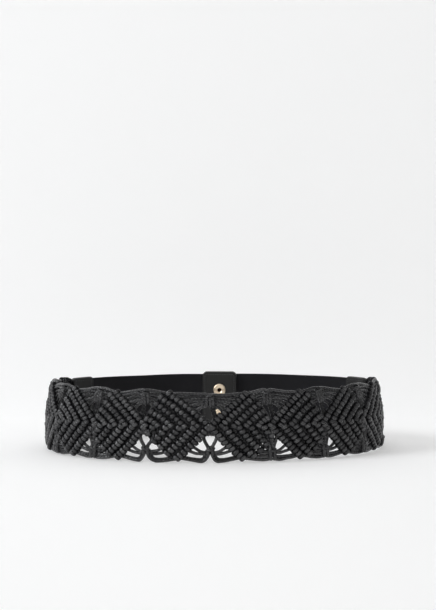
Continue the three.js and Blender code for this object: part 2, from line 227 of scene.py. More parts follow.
def smooth_path(points, step=1.1):
    """A centripetal curve through points of any dimension, sampled about every step millimetres."""
    p = np.asarray(points, float)
    if len(p) == 2:
        m = max(2, int(math.ceil(np.linalg.norm(p[1] - p[0]) / step)) + 1)
        return p[0] + (p[1] - p[0]) * np.linspace(0, 1, m)[:, None]
    ext = np.vstack([2 * p[0] - p[1], p, 2 * p[-1] - p[-2]])
    out = []
    for i in range(1, len(ext) - 2):
        p0, p1, p2, p3 = ext[i - 1], ext[i], ext[i + 1], ext[i + 2]
        t0 = 0.0
        t1 = t0 + max(np.linalg.norm(p1 - p0), 1e-6) ** 0.5
        t2 = t1 + max(np.linalg.norm(p2 - p1), 1e-6) ** 0.5
        t3 = t2 + max(np.linalg.norm(p3 - p2), 1e-6) ** 0.5
        m = max(1, int(math.ceil(np.linalg.norm(p2 - p1) / step)))
        t = (t1 + (t2 - t1) * np.arange(m) / m)[:, None]
        a1 = (t1 - t) / (t1 - t0) * p0 + (t - t0) / (t1 - t0) * p1
        a2 = (t2 - t) / (t2 - t1) * p1 + (t - t1) / (t2 - t1) * p2
        a3 = (t3 - t) / (t3 - t2) * p2 + (t - t2) / (t3 - t2) * p3
        b1 = (t2 - t) / (t2 - t0) * a1 + (t - t0) / (t2 - t0) * a2
        b2 = (t3 - t) / (t3 - t1) * a2 + (t - t1) / (t3 - t1) * a3
        out.append((t2 - t) / (t2 - t1) * b1 + (t - t1) / (t2 - t1) * b2)
    out.append(p[-1][None])
    return np.vstack(out)


def tube(soup, path, radius, sides=8, shade=0.5, caps=True, flatten=1.0, normal=None):
    """A tube in metres round path (metres); radius is in millimetres and may vary along it."""
    p = np.asarray(path, float)
    m = len(p)
    tan = unit(np.gradient(p, axis=0))
    r = np.broadcast_to(np.asarray(radius, float), (m,)) * MM
    if normal is None:
        seed = np.array([0.0, 0.0, 1.0]) if abs(tan[0][2]) < 0.9 else np.array([1.0, 0.0, 0.0])
        e = unit(seed - tan[0] * seed.dot(tan[0]))
        es = [e]
        for i in range(1, m):
            e = unit(e - tan[i] * e.dot(tan[i]))
            es.append(e)
        e1 = np.array(es)
    else:
        e1 = unit(normal - tan * np.sum(normal * tan, axis=1, keepdims=True))
    e2 = np.cross(tan, e1)
    ph = 2 * math.pi * np.arange(sides) / sides
    ring = (np.cos(ph)[None, :, None] * e1[:, None] * flatten + np.sin(ph)[None, :, None] * e2[:, None])
    dist = np.concatenate([[0], np.cumsum(np.linalg.norm(np.diff(p, axis=0), axis=1))]) / MM
    along = np.concatenate([dist, dist[-1:] + 1]) / 6.0
    soup.grid(p[:, None] + ring * r[:, None, None], shade=shade, along=along, caps=caps)


def cord_run(soup, points, radius=1.12, side=1, base=0.0, shade=None, step=1.1, sides=8, caps=True):
    """A cord through (x, t, n) points laid out flat; side mirrors it, base is where x starts."""
    p = smooth_path(points, step)
    u = side * (base + p[:, 0])
    pos, nrm = wrap(u, p[:, 1], p[:, 2])
    if shade is None:
        shade = 0.5 + rng.uniform(-0.25, 0.25)
    r = np.asarray(radius, float)
    if r.ndim:
        r = np.interp(np.linspace(0, 1, len(p)), np.linspace(0, 1, len(r)), r)
    tube(soup, pos, r, sides, shade, caps)


# ------------------------------------------------------------------ the knotted ribs
# Half-hitch ribs of one diamond, laid out flat: start, end, beads.
UPPER_RIBS = [((0.4, 31.9), (36.6, 60.2), 11), ((10.6, 32.0), (43.2, 57.4), 10), ((21.8, 32.0), (47.4, 51.2), 8),
              ((33.2, 32.0), (51.8, 44.6), 6), ((44.6, 32.0), (55.4, 38.6), 4)]
LOWER_RIBS = [((3.6, 30.0), (30.6, 3.0), 10), ((15.2, 30.0), (37.2, 8.4), 8), ((26.8, 30.0), (43.0, 13.6), 6),
              ((38.2, 30.0), (49.0, 19.0), 4), ((49.6, 30.0), (54.8, 24.8), 2)]


LAST_UPPER = [((39.4, 57.4), (53.0, 55.8), 4), ((47.2, 50.6), (53.2, 49.2), 2)]
LAST_LOWER = [((34.4, 4.6), (53.0, 6.6), 5), ((42.0, 11.6), (53.2, 12.6), 3)]

# how far the lower ribs reach into each V, from its outer and its inner side: no two are alike
CLOSE = {(1, 0): (1.6, 0.0), (-1, 0): (1.5, 0.0), (1, 1): (1.0, 5.6), (1, 2): (1.8, 5.4), (1, 3): (2.8, 4.6), (1, 4): (3.0, 4.2),
         (-1, 1): (1.4, 2.0), (-1, 2): (1.8, 5.0), (-1, 3): (2.8, 4.6), (-1, 4): (3.0, 4.2)}


def rib_line(start, end, bow, m=60):
    a, b = np.array(start), np.array(end)
    d = b - a
    nrm = np.array([-d[1], d[0]]) / np.linalg.norm(d)
    t = np.linspace(0, 1, m)[:, None]
    return a + d * t + nrm * bow * (4 * t * (1 - t))


def add_ribs(side, rings, carriers):
    centre, tangent, normal, size, slant, shade = [], [], [], [], [], []
    for k in range(CELLS):
        for upper, table in ((True, UPPER_RIBS), (False, LOWER_RIBS)):
            if k == CELLS - 1:
                table = table + (LAST_UPPER if upper else LAST_LOWER)
            for r, (a, b, count) in enumerate(table):
                jit = rng.uniform(-0.5, 0.5, 4)
                a = (a[0] + jit[0] * 0.6, a[1] + jit[1] * 0.5)
                b = (b[0] + jit[2] * 0.8, b[1] + jit[3] * 0.6)
                if k == CELLS - 1 and b[0] > 53.2:
                    b = (53.2, b[1])
                if not upper and r < 5:
                    near, far = CLOSE.get((side, k), (0.0, 0.0))[0], CLOSE.get((side, k + 1), (0.0, 0.0))[1]
                    fade = (1.0, 0.75, 0.5, 0.35, 0.25)[r]
                    d = unit((b[0] - a[0], b[1] - a[1]))
                    reach = far * (0.3, 0.9, 1.0, 1.0, 0.8)[r]
                    a = (a[0] - near * fade, a[1])
                    b = (b[0] - near * fade + d[0] * reach, max(2.9, b[1] + d[1] * reach))
                    count = count + int(round(reach / 4.2))
                line = rib_line(a, b, 0.9 if upper else -0.7)
                u = side * (k * MODULE + line[:, 0])
                t = line[:, 1]
                n = np.full(len(t), 0.2)
                pos, nrm = wrap(u, t, n)
                # painted shade: the hidden rib cores get a darker tone (0.35)
                tube(carriers, pos, 1.55, 8, 0.35)
                tan = unit(np.gradient(pos, axis=0))
                dist = np.concatenate([[0], np.cumsum(np.linalg.norm(np.diff(pos, axis=0), axis=1))]) / MM
                pitch = dist[-1] / (count - 0.55)
                wide = 1.98 if upper else 2.44
                for i in range(count):
                    mid = i * pitch + rng.uniform(-0.2, 0.2)
                    first = i == 0
                    grow = (0.97 if first else 1.0) * (1 + rng.uniform(-0.06, 0.06))
                    off_b, off_n = rng.uniform(-0.3, 0.3), rng.uniform(-0.25, 0.25) + (0.25 if first else 0.0)
                    tone = 0.5 + rng.uniform(-0.3, 0.3)
                    tilt = (0.16 if upper else -0.16) + rng.uniform(-0.06, 0.06)
                    for w in (-1, 1):
                        at = mid + w * (0.50 if not first else 0.60)
                        f = [np.interp(at, dist, pos[:, c]) for c in range(3)]
                        if at < 0:
                            f = list(np.array(f) + tan[0] * at * MM)
                        g = unit(np.array([np.interp(at, dist, tan[:, c]) for c in range(3)]))
                        h = unit(np.array([np.interp(at, dist, nrm[:, c]) for c in range(3)]))
                        bb = np.cross(g, h)
                        centre.append(np.array(f) + bb * off_b * MM + h * off_n * MM)
                        tangent.append(g)
                        normal.append(h)
                        size.append((wide * grow * (1.0 if w < 0 else 0.97), 1.62 * grow, 1.46 if not first else 1.5))
                        slant.append(tilt * side)
                        shade.append(tone + rng.uniform(-0.08, 0.08))
    c, g, h = np.array(centre), np.array(tangent), np.array(normal)
    h = unit(h - g * np.sum(g * h, axis=1, keepdims=True))
    b = np.cross(g, h)
    size = np.array(size)
    A, B = 16, 8
    th = 2 * math.pi * np.arange(A) / A
    ph = 2 * math.pi * np.arange(B) / B
    ca, sa = np.cos(th), np.sin(th)
    sx, sn = size[:, 0][:, None], size[:, 1][:, None]
    line = (c[:, None] + (sx * ca)[..., None] * b[:, None] * MM + (sn * sa)[..., None] * h[:, None] * MM
            + (np.array(slant)[:, None] * sx * ca)[..., None] * g[:, None] * MM)
    out = unit((ca / sx)[..., None] * b[:, None] + (sa / sn)[..., None] * h[:, None])
    rad_out, rad_along = 1.45, np.maximum(size[:, 2], 1.0)
    p = (line[:, :, None] + out[:, :, None] * (np.cos(ph) * rad_out * MM)[None, None, :, None]
         + g[:, None, None] * (np.sin(ph)[None] * rad_along[:, None] * MM)[:, None, :, None])
    # painted shade: the sides of a knot, down in the grooves, are painted darker than its rounded top, in place of the
    # shadow in the grooves; the cord material also weakens their highlights
    painted_shade_height = (sn[..., None] * sa[None, :, None] + rad_out * np.cos(ph)[None, None, :] * sa[None, :, None]) / (sn[..., None] + rad_out)
    painted_shade_tones = (np.array(shade)[:, None, None] + 0.25) * ramp(0.30, 0.98, painted_shade_height)
    rings.grid(p, close_a=True, shade=painted_shade_tones, along=np.arange(A + 1) * 3.0 / A)


def bead(soup, side, base, x, z, angle, wide=2.5, count=2, lift=0.2, spread=1.75):
    """One knot on its own, its core at an angle from the belt's length."""
    ca, sa = math.cos(math.radians(angle)), math.sin(math.radians(angle))
    core = [(x - ca * 2.6, z - sa * 2.6, lift - 0.3), (x, z, lift), (x + ca * 2.6, z + sa * 2.6, lift - 0.3)]
    # painted shade: the hidden core gets a darker tone (0.35)
    cord_run(soup, core, 1.3, side, base, 0.35, step=1.2)
    tone = 0.5 + rng.uniform(-0.3, 0.3)
    for w in range(count):
        off = (w - (count - 1) / 2) * spread
        ring = []
        for a in np.linspace(0, 2 * math.pi, 15)[:-1]:
            c = wide * math.cos(a)
            lean = 0.14 * c
            ring.append((x + ca * (off + lean) - sa * c, z + sa * (off + lean) + ca * c, lift + 1.75 * math.sin(a)))
        ring = np.array(ring)
        u = side * (base + ring[:, 0])
        pos, _ = wrap(u, ring[:, 1], ring[:, 2])
        mid = pos.mean(0)
        out = unit(pos - mid)
        tan = unit(np.roll(pos, -1, 0) - np.roll(pos, 1, 0))
        lat = unit(np.cross(tan, out))
        ph = 2 * math.pi * np.arange(8) / 8
        tubep = pos[:, None] + (np.cos(ph)[None, :, None] * out[:, None] + np.sin(ph)[None, :, None] * lat[:, None]) * 1.2 * MM
        soup.grid(tubep if side > 0 else tubep, close_a=True, shade=tone, along=np.arange(15) * 3.0 / 14)


def add_bridges(side, soup):
    """Short lengths of cord between neighbouring ribs, deep in the grooves."""
    for k in range(CELLS):
        for table, bow in ((UPPER_RIBS, 0.9), (LOWER_RIBS, -0.7)):
            for (a0, b0, c0), (a1, b1, c1) in zip(table[:-1], table[1:]):
                l0, l1 = rib_line(a0, b0, bow), rib_line(a1, b1, bow)
                for i in range(c1):
                    q = l1[int((i + 0.5) / c1 * 59)]
                    near = l0[np.argmin(np.hypot(*(l0 - q).T))]
                    for w in (-1.1, 1.1):
                        d = unit((b1[0] - a1[0], b1[1] - a1[1])) * w
                        pts = [(near[0] + d[0], near[1] + d[1], -0.6), (q[0] + d[0], q[1] + d[1], -0.6)]
                        if k == CELLS - 1 and max(pts[0][0], pts[1][0]) > 52:
                            continue
                        # painted shade: these cords deep in the grooves get a darker tone (0.3)
                        cord_run(soup, pts, 1.15, side, k * MODULE, 0.3, step=9, sides=6, caps=False)


def add_crossings(side, soup):
    """Cords that pass from the upper ribs down to the lower ones, behind the middle row of knots."""
    for k in range(CELLS):
        for t in (26.9, 29.1, 31.3, 33.5):
            # painted shade: the cords behind the middle row of knots get darker tones (0.2 and 0.3)
            cord_run(soup, [(1.0, t, -1.5), (27.0, t, -1.5), (50.0 if k == CELLS - 1 else 54.0, t, -1.5)], 1.35, side, k * MODULE, 0.2,
                     step=3, sides=6, caps=False)
        for i, x in enumerate(np.arange(2.0, 54.0, 2.15)):
            lean = 0.7 if i % 2 else -0.7
            if k == CELLS - 1 and x > 49:
                continue
            cord_run(soup, [(x - lean, 37.0, -1.0), (x, 31.0, -1.5 if i % 2 else -0.8), (x + lean, 24.6, -1.0)], 1.3, side, k * MODULE, 0.3,
                     step=3, sides=6, caps=False)


# ------------------------------------------------------------------ the open-work between diamonds
# (x, height, outwards) from the middle of a V; x > 0 is the side of a diamond's first rib, x < 0 the ends of ribs.
BOTTOM_RIB_SIDE = [
    [(7.4, 24.6, -0.2), (5.8, 21.6, 0.2), (4.1, 18.0, 0.5), (2.4, 15.0, 1.0), (1.3, 11.4, 1.5)],
    [(16.8, 16.0, -0.6), (12.2, 12.6, -0.2), (8.0, 10.2, 0.2), (4.2, 9.4, 0.8), (1.2, 9.4, 1.0)],
    [(21.0, 11.2, -0.8), (16.0, 9.5, -0.5), (12.0, 8.5, -0.3), (8.0, 7.9, 0.0), (4.8, 8.0, 0.6), (1.8, 8.8, 0.8)],
    [(27.0, 4.4, -0.4), (20.5, 3.4, 0.0), (14.0, 2.2, 0.1), (9.4, 1.6, 0.3), (6.6, 1.7, 0.8), (4.4, 2.9, 1.2), (2.7, 5.0, 1.5), (1.5, 7.8, 1.6), (1.2, 11.0, 1.4)],
    [(26.0, 5.6, -0.9), (20.0, 4.6, -0.8), (13.6, 3.4, -0.6), (9.4, 3.0, -0.2), (7.0, 3.6, 0.4), (5.0, 5.2, 0.9), (3.4, 7.4, 1.1), (2.4, 10.6, 1.0)],
]
BOTTOM_END_SIDE = [
    [(-8.0, 24.0, -0.2), (-6.0, 21.2, 0.1), (-4.1, 18.0, 0.4), (-2.3, 15.0, 1.0), (-1.3, 11.4, 1.5)],
    [(-15.0, 13.4, -0.4), (-10.4, 10.8, -0.1), (-5.4, 9.6, 0.7), (-1.8, 9.4, 1.0)],
    [(-18.6, 10.0, -0.8), (-12.6, 8.3, -0.4), (-6.6, 7.6, 0.2), (-2.0, 8.6, 0.8)],
    [(-25.0, 3.2, -0.4), (-18.0, 2.1, 0.0), (-12.4, 1.6, 0.2), (-8.0, 1.6, 0.5), (-4.8, 2.9, 1.0), (-2.7, 5.2, 1.4), (-1.5, 8.0, 1.6), (-1.1, 11.4, 1.4)],
    [(-22.0, 4.6, -0.9), (-15.0, 3.2, -0.6), (-10.4, 2.8, -0.1), (-7.0, 3.7, 0.5), (-4.8, 5.8, 0.8), (-3.3, 8.2, 1.0), (-2.4, 10.6, 1.0)],
]
# the outermost cord passes over the gather knot without a break
TOP_THROUGH = [(-20.4, 58.8, -0.4), (-15.0, 60.2, 0.2), (-8.0, 61.6, 0.7), (-2.8, 62.1, 1.2), (0.0, 61.6, 1.7), (3.0, 62.0, 1.2),
               (9.0, 61.5, 0.8), (18.0, 60.2, 0.4), (27.0, 59.0, -0.2), (36.0, 57.6, -1.0)]
TOP_THROUGH_MIDDLE = [(-36.0, 58.6, -0.4), (-27.0, 59.2, 0.2), (-18.0, 59.4, 0.5), (-9.0, 59.2, 0.8), (-3.4, 58.8, 1.3), (0.0, 58.4, 1.8),
                      (3.4, 58.3, 1.3), (9.0, 58.2, 0.8), (18.0, 58.6, 0.4), (27.0, 59.0, 0.2), (36.0, 58.6, -0.4)]
TOP_RIB_SIDE = [
    [(31.0, 56.2, -0.6), (25.0, 57.2, -0.1), (17.0, 58.6, 0.1), (9.0, 59.2, 0.5), (4.4, 58.8, 1.1), (2.2, 57.6, 1.4)],
    [(26.0, 52.4, -0.8), (20.0, 54.4, -0.4), (13.0, 56.0, -0.1), (8.0, 56.3, 0.3), (4.2, 55.6, 0.9)],
    [(21.0, 48.4, -0.9), (16.0, 51.0, -0.6), (11.0, 52.9, -0.3), (7.0, 53.4, 0.2), (3.8, 53.2, 0.8)],
    [(15.0, 43.6, -0.9), (11.4, 47.0, -0.6), (8.0, 49.6, -0.2), (5.2, 50.9, 0.4), (3.0, 51.4, 0.8)],
]
TOP_MIDDLE = [[(3.2, 50.6, -0.6), (3.8, 45.4, -1.0), (5.6, 40.4, -0.9), (7.2, 36.6, -0.8)],
              [(1.6, 50.4, -0.8), (2.6, 44.0, -1.4), (3.6, 38.6, -1.0), (4.6, 33.4, -0.8)]]
FILL_END = [[(-23.0, 7.0, -0.9), (-12.6, 5.3, -0.6), (-5.4, 5.4, 0.2), (-1.5, 6.6, 0.8)],
            [(-13.0, 17.0, -0.7), (-8.4, 14.0, -0.2), (-3.6, 11.8, 0.6), (-1.2, 10.8, 1.0)],
            [(-10.4, 20.2, -0.7), (-7.0, 17.6, -0.2), (-3.4, 14.4, 0.6), (-1.2, 12.4, 1.0)]]
LOW_FOOT = [[(26.0, 4.3, -0.5), (20.0, 3.5, -0.1), (14.0, 2.6, 0.1), (8.0, 2.1, 0.4), (3.0, 2.5, 0.9), (0.4, 3.0, 0.9)],
            [(25.0, 6.2, -0.9), (19.0, 5.2, -0.6), (13.0, 4.5, -0.4), (8.0, 4.4, 0.0), (3.0, 4.9, 0.6), (0.4, 5.4, 0.7)]]
FILL_MIDDLE = [[(-2.6, 25.2, -0.6), (-2.1, 20.4, -0.3), (-1.2, 15.6, 0.5), (-0.6, 12.6, 1.0)],
               [(0.1, 25.2, -0.9), (0.0, 20.4, -0.8), (0.0, 15.6, -0.1), (0.0, 12.6, 0.6)],
               [(2.6, 25.2, -0.6), (2.2, 20.4, -0.2), (1.3, 15.6, 0.5), (0.6, 12.6, 1.0)]]
FILL_RIB = [[(25.0, 8.0, -0.9), (14.0, 5.6, -0.6), (6.6, 5.0, 0.1), (1.6, 6.2, 0.8)],
            [(12.0, 19.4, -0.7), (8.2, 15.0, -0.2), (4.4, 12.4, 0.5), (1.2, 11.4, 1.0)]]
TOP_END_SIDE = [
    [(-14.6, 55.6, -0.6), (-10.6, 57.6, 0.0), (-6.0, 58.8, 0.6), (-2.4, 58.2, 1.2)],
    [(-11.0, 51.0, -0.7), (-8.0, 53.8, -0.2), (-4.8, 55.0, 0.4), (-2.4, 54.8, 0.9)],
    [(-7.6, 46.4, -0.8), (-6.0, 49.4, -0.3), (-4.2, 51.0, 0.3), (-2.8, 51.6, 0.8)],
]


def nudge(points, amount=0.35):
    p = np.array(points, float)
    p[1:-1] += rng.uniform(-amount, amount, (len(p) - 2, 3)) * np.array([1, 1, 0.5])
    return p


def lobe(soup, side, base, points, radii, shade=0.55):
    cord_run(soup, points, radii, side, base, shade, step=0.7, sides=12)


def gather_bottom(soup, side, base):
    for x in (-1.9, 1.9):
        j = rng.uniform(-0.25, 0.25, 2)
        lobe(soup, side, base, [(x * 0.3, 15.0, 0.9), (x * 0.8 + j[0], 12.6, 1.9), (x * 1.05 + j[1], 9.8, 2.4),
                                (x * 0.95, 7.4, 2.0), (x * 0.9, 5.9, 1.1)], [0.9, 1.6, 1.95, 1.7, 1.0])
    # the cord that ties them, once round the back and slanted across the front
    ring = []
    for a in np.linspace(0, 2 * math.pi, 17):
        ring.append((3.3 * math.cos(a), 11.6 + 1.2 * math.cos(a), 0.7 + 2.8 * math.sin(a)))
    cord_run(soup, ring, 1.3, side, base, 0.5, step=0.9, caps=False)


def gather_low(soup, side, base):
    """A gather knot that hangs down to the lower edge."""
    lean = rng.uniform(-0.4, 0.4)
    for x in (-1.75, 1.75):
        j = rng.uniform(-0.25, 0.25, 2)
        lobe(soup, side, base, [(x * 0.5, 13.6, 0.9), (x + j[0], 11.0, 1.9), (x * 1.08 + lean, 6.6, 2.4),
                                (x * 1.1 + j[1], 3.2, 2.0), (x * 0.8, 1.9, 1.0)], [0.9, 1.6, 1.95, 1.8, 1.1])
    ring = []
    for a in np.linspace(0, 2 * math.pi, 19):
        ring.append((3.3 * math.cos(a), 10.4 + 0.9 * math.cos(a + 0.5), 0.7 + 2.8 * math.sin(a)))
    cord_run(soup, ring, 1.3, side, base, 0.5, step=0.9, caps=False)


def gather_top(soup, side, base):
    lean, drop = rng.uniform(-0.7, 0.7), 2.0 if base == 0 else 0.0
    for x, low in ((-2.75, 51.6), (0.1, 50.6), (2.85, 51.4)):
        j = rng.uniform(-0.3, 0.3, 3)
        lobe(soup, side, base, [(x * 0.45, 60.6 - drop, 1.0), (x * 0.95 + j[0], 58.2 - drop, 2.0), (x + j[1] + lean, 54.8 - drop, 2.3),
                                (x + j[1] + lean * 1.3, low - drop + j[2], 1.7), (x + lean * 1.4, low - drop - 1.6, 0.6)], [0.9, 1.5, 1.75, 1.6, 0.9])
    ring = []
    for a in np.linspace(0, 2 * math.pi, 19):
        ring.append((3.5 * math.cos(a), 60.1 - drop + 0.8 * math.cos(a + 0.4), 0.9 + 2.1 * math.sin(a)))
    cord_run(soup, ring, 1.1, side, base, 0.5, step=0.9, caps=False)


def add_openwork(side, k, soup, knots):
    base = k * MODULE
    tables = [BOTTOM_RIB_SIDE, TOP_RIB_SIDE]
    if k > 0:
        tables += [BOTTOM_END_SIDE, TOP_END_SIDE]
    low_knot = k > 0 and (side, k) != (-1, 1)
    for table in tables:
        for i, pts in enumerate(table):
            if low_knot and i > 2 and table in (BOTTOM_RIB_SIDE, BOTTOM_END_SIDE):
                turn = 1 if table is BOTTOM_RIB_SIDE else -1
                pts = [(turn * x, z, n) for x, z, n in LOW_FOOT[i - 3]]
            top = table in (TOP_RIB_SIDE, TOP_END_SIDE)
            thick = 1.56 if pts is BOTTOM_RIB_SIDE[0] or pts is BOTTOM_END_SIDE[0] else 1.38
            if top and k == 0:
                pts = [(x, z - (2.2 if x < 20 else 1.6), n) for x, z, n in pts]
            cord_run(soup, nudge(pts, 0.35 if top else 0.22), 1.34 if top else thick, side, base, rng.uniform(0.2, 0.5) if top else None)
    if CLOSE.get((side, k), (0, 0))[1] > 3:
        for pts in FILL_END:
            cord_run(soup, nudge(pts), 1.3, side, base)
    if CLOSE.get((side, k), (0, 0))[0] > 1.9:
        for pts in FILL_RIB:
            cord_run(soup, nudge(pts), 1.3, side, base)
    if k > 0 and (side, k) != (-1, 1):
        for pts in FILL_MIDDLE:
            cord_run(soup, nudge(pts), 1.4, side, base)
    if k > 0:
        cord_run(soup, nudge(TOP_THROUGH), 1.36, side, base)
    elif side > 0:
        cord_run(soup, nudge(TOP_THROUGH_MIDDLE), 1.36, side, base)
    if k > 0 or side > 0:
        for pts in TOP_MIDDLE:
            cord_run(soup, nudge(pts), 1.3, side, base, rng.uniform(0.12, 0.35))
        for x in (-2.1, 2.2):
            bead(knots, side, base, x, 26.2 + rng.uniform(-0.4, 0.4), 0, wide=1.7, spread=1.9)
    if k > 0 or side > 0:
        (gather_low if low_knot else gather_bottom)(knots, side, base)
        gather_top(knots, side, base)


def add_fan(side, soup):
    """The last cords of each half, running side by side into the end tab."""
    starts = [(30.0, 58.8), (36.0, 58.2), (41.5, 55.6), (46.5, 50.4), (50.0, 44.6), (50.5, 38.0), (50.5, 34.0), (50.5, 30.6),
              (50.5, 26.6), (49.5, 22.0), (47.0, 17.0), (43.0, 12.2), (37.5, 7.4), (33.5, 3.6), (30.0, 2.6)]
    m = len(starts)
    for w in (-1, 1):
        for i, (x, z) in enumerate(starts):
            end = 56.0 - 50.0 * i / (m - 1) + w * 0.8
            pts = [(x, z + w * 0.7, 0.2 * w - 1.3), ((x + 55.0) / 2, (z + end) / 2 + w * 0.3, 0.1 * w - 1.1), (53.4, end, -0.4), (56.2, end, 0.0),
                   (60.0, end, 0.0)]
            cord_run(soup, pts, [1.12, 1.12, 1.05, 0.8, 0.7], side, 4 * MODULE)


# ------------------------------------------------------------------ node materials
def new_material(name):
    m = bpy.data.materials.new(name)
    m.use_nodes = True
    nt = m.node_tree
    nt.nodes.clear()
    out = nt.nodes.new("ShaderNodeOutputMaterial")
    bsdf = nt.nodes.new("ShaderNodeBsdfPrincipled")
    nt.links.new(bsdf.outputs["BSDF"], out.inputs["Surface"])
    return m, nt, bsdf


def node(nt, kind, **settings):
    n = nt.nodes.new(kind)
    for k, v in settings.items():
        if k in n.inputs.keys() and not hasattr(type(n), k):
            n.inputs[k].default_value = v
        else:
            setattr(n, k, v)
    return n


def maths(nt, op, a, b=None, c=None):
    n = nt.nodes.new("ShaderNodeMath")
    n.operation = op
    for i, x in enumerate((a, b, c)):
        if x is None:
            continue
        if isinstance(x, (int, float)):
            n.inputs[i].default_value = x
        else:
            nt.links.new(x, n.inputs[i])
    return n.outputs[0]


def noise(nt, vec, scale, detail=3.0, rough=0.5):
    n = nt.nodes.new("ShaderNodeTexNoise")
    n.inputs["Scale"].default_value = scale
    n.inputs["Detail"].default_value = detail
    n.inputs["Roughness"].default_value = rough
    nt.links.new(vec, n.inputs["Vector"])
    return n.outputs["Fac"]


def blend_colour(nt, fac, a, b):
    n = nt.nodes.new("ShaderNodeMix")
    n.data_type = "RGBA"
    n.inputs["A"].default_value = (*a, 1)
    n.inputs["B"].default_value = (*b, 1)
    nt.links.new(fac, n.inputs["Factor"])
    return n.outputs["Result"]


def remap(nt, x, lo, hi, a=0.0, b=1.0):
    n = nt.nodes.new("ShaderNodeMapRange")
    n.inputs["From Min"].default_value = a
    n.inputs["From Max"].default_value = b
    n.inputs["To Min"].default_value = lo
    n.inputs["To Max"].default_value = hi
    nt.links.new(x, n.inputs["Value"])
    return n.outputs["Result"]


def bump(nt, height, strength, distance, under=None):
    n = nt.nodes.new("ShaderNodeBump")
    n.inputs["Strength"].default_value = strength
    n.inputs["Distance"].default_value = distance
    nt.links.new(height, n.inputs["Height"])
    if under is not None:
        nt.links.new(under, n.inputs["Normal"])
    return n.outputs["Normal"]


def obj_coords(nt):
    return nt.nodes.new("ShaderNodeTexCoord").outputs["Object"]


def cord_material():
    m, nt, bsdf = new_material("cord_waxed_black")
    pos = obj_coords(nt)
    uv = node(nt, "ShaderNodeUVMap", uv_map="strand").outputs["UV"]
    sep = nt.nodes.new("ShaderNodeSeparateXYZ")
    nt.links.new(uv, sep.inputs[0])
    # twisted plies: ridges that wind round the strand
    phase = maths(nt, "ADD", maths(nt, "MULTIPLY", sep.outputs[0], 2.0), maths(nt, "MULTIPLY", sep.outputs[1], 3.0))
    ply = maths(nt, "SINE", maths(nt, "MULTIPLY", phase, 2 * math.pi))
    ply = maths(nt, "MULTIPLY_ADD", ply, 0.5, 0.5)
    ply = maths(nt, "POWER", ply, 0.6)
    fibre = noise(nt, pos, 2600.0, 2.0, 0.6)
    blotch = noise(nt, pos, 160.0, 3.0, 0.55)
    # the shade attribute holds each strand's own tone together with painted shade for grooves and hidden cords
    shade = node(nt, "ShaderNodeAttribute", attribute_name="shade").outputs["Fac"]
    tone = maths(nt, "ADD", maths(nt, "MULTIPLY", shade, 0.55), maths(nt, "MULTIPLY", blotch, 0.45))
    colour = blend_colour(nt, tone, (0.0024, 0.0023, 0.0029), (0.0165, 0.0163, 0.0192))
    nt.links.new(colour, bsdf.inputs["Base Color"])
    rough = remap(nt, maths(nt, "ADD", maths(nt, "MULTIPLY", blotch, 0.6), maths(nt, "MULTIPLY", fibre, 0.4)), 0.17, 0.36)
    nt.links.new(rough, bsdf.inputs["Roughness"])
    # painted shade: low shade values also weaken the highlights
    nt.links.new(remap(nt, shade, 0.10, 1.20), bsdf.inputs["Specular IOR Level"])
    n1 = bump(nt, ply, 0.75, 0.00026)
    n2 = bump(nt, fibre, 0.30, 0.00014, n1)
    nt.links.new(n2, bsdf.inputs["Normal"])
    return m


def elastic_material():
    m, nt, bsdf = new_material("elastic_woven_black")
    uv = node(nt, "ShaderNodeUVMap", uv_map="strand").outputs["UV"]      # millimetres along and across
    sep = nt.nodes.new("ShaderNodeSeparateXYZ")
    nt.links.new(uv, sep.inputs[0])
    pos = obj_coords(nt)
    warp = maths(nt, "SINE", maths(nt, "MULTIPLY", sep.outputs[1], 2 * math.pi / 1.15))
    weft = maths(nt, "SINE", maths(nt, "MULTIPLY", sep.outputs[0], 2 * math.pi / 0.75))
    weave = maths(nt, "MULTIPLY_ADD", warp, 0.16, maths(nt, "MULTIPLY_ADD", weft, 0.12, 0.5))
    blotch = noise(nt, pos, 42.0, 3.0, 0.5)
    fuzz = noise(nt, pos, 3000.0, 2.0, 0.6)
    tone = maths(nt, "MULTIPLY_ADD", blotch, 0.75, maths(nt, "MULTIPLY", weave, 0.25))
    colour = blend_colour(nt, tone, (0.0041, 0.0041, 0.0049), (0.0096, 0.0092, 0.0120))
    nt.links.new(colour, bsdf.inputs["Base Color"])
    nt.links.new(remap(nt, fuzz, 0.62, 0.86), bsdf.inputs["Roughness"])
    bsdf.inputs["Specular IOR Level"].default_value = 0.22
    bsdf.inputs["Sheen Weight"].default_value = 0.05
    bsdf.inputs["Sheen Roughness"].default_value = 0.5
    n1 = bump(nt, weave, 0.35, 0.00012)
    n2 = bump(nt, fuzz, 0.15, 0.0001, n1)
    nt.links.new(n2, bsdf.inputs["Normal"])
    return m


def leather_material():
    m, nt, bsdf = new_material("leather_grained_black")
    pos = obj_coords(nt)
    vor = nt.nodes.new("ShaderNodeTexVoronoi")
    vor.feature = "DISTANCE_TO_EDGE"
    vor.inputs["Scale"].default_value = 900.0
    nt.links.new(pos, vor.inputs["Vector"])
    cells = remap(nt, vor.outputs["Distance"], 0.0, 1.0, 0.0, 0.22)
    crease = noise(nt, pos, 260.0, 4.0, 0.6)
    blotch = noise(nt, pos, 70.0, 3.0, 0.5)
    height = maths(nt, "MULTIPLY_ADD", cells, 0.6, maths(nt, "MULTIPLY", crease, 0.6))
    shade = node(nt, "ShaderNodeAttribute", attribute_name="shade").outputs["Fac"]
    tone = maths(nt, "ADD", maths(nt, "MULTIPLY", blotch, 0.5), maths(nt, "MULTIPLY", shade, 0.5))
    colour = blend_colour(nt, tone, (0.0042, 0.0042, 0.0042), (0.0100, 0.0100, 0.0100))
    nt.links.new(colour, bsdf.inputs["Base Color"])
    nt.links.new(remap(nt, maths(nt, "ADD", blotch, maths(nt, "MULTIPLY", cells, -0.25)), 0.42, 0.62), bsdf.inputs["Roughness"])
    bsdf.inputs["Specular IOR Level"].default_value = 0.5
    nt.links.new(bump(nt, height, 0.42, 0.00016), bsdf.inputs["Normal"])
    return m


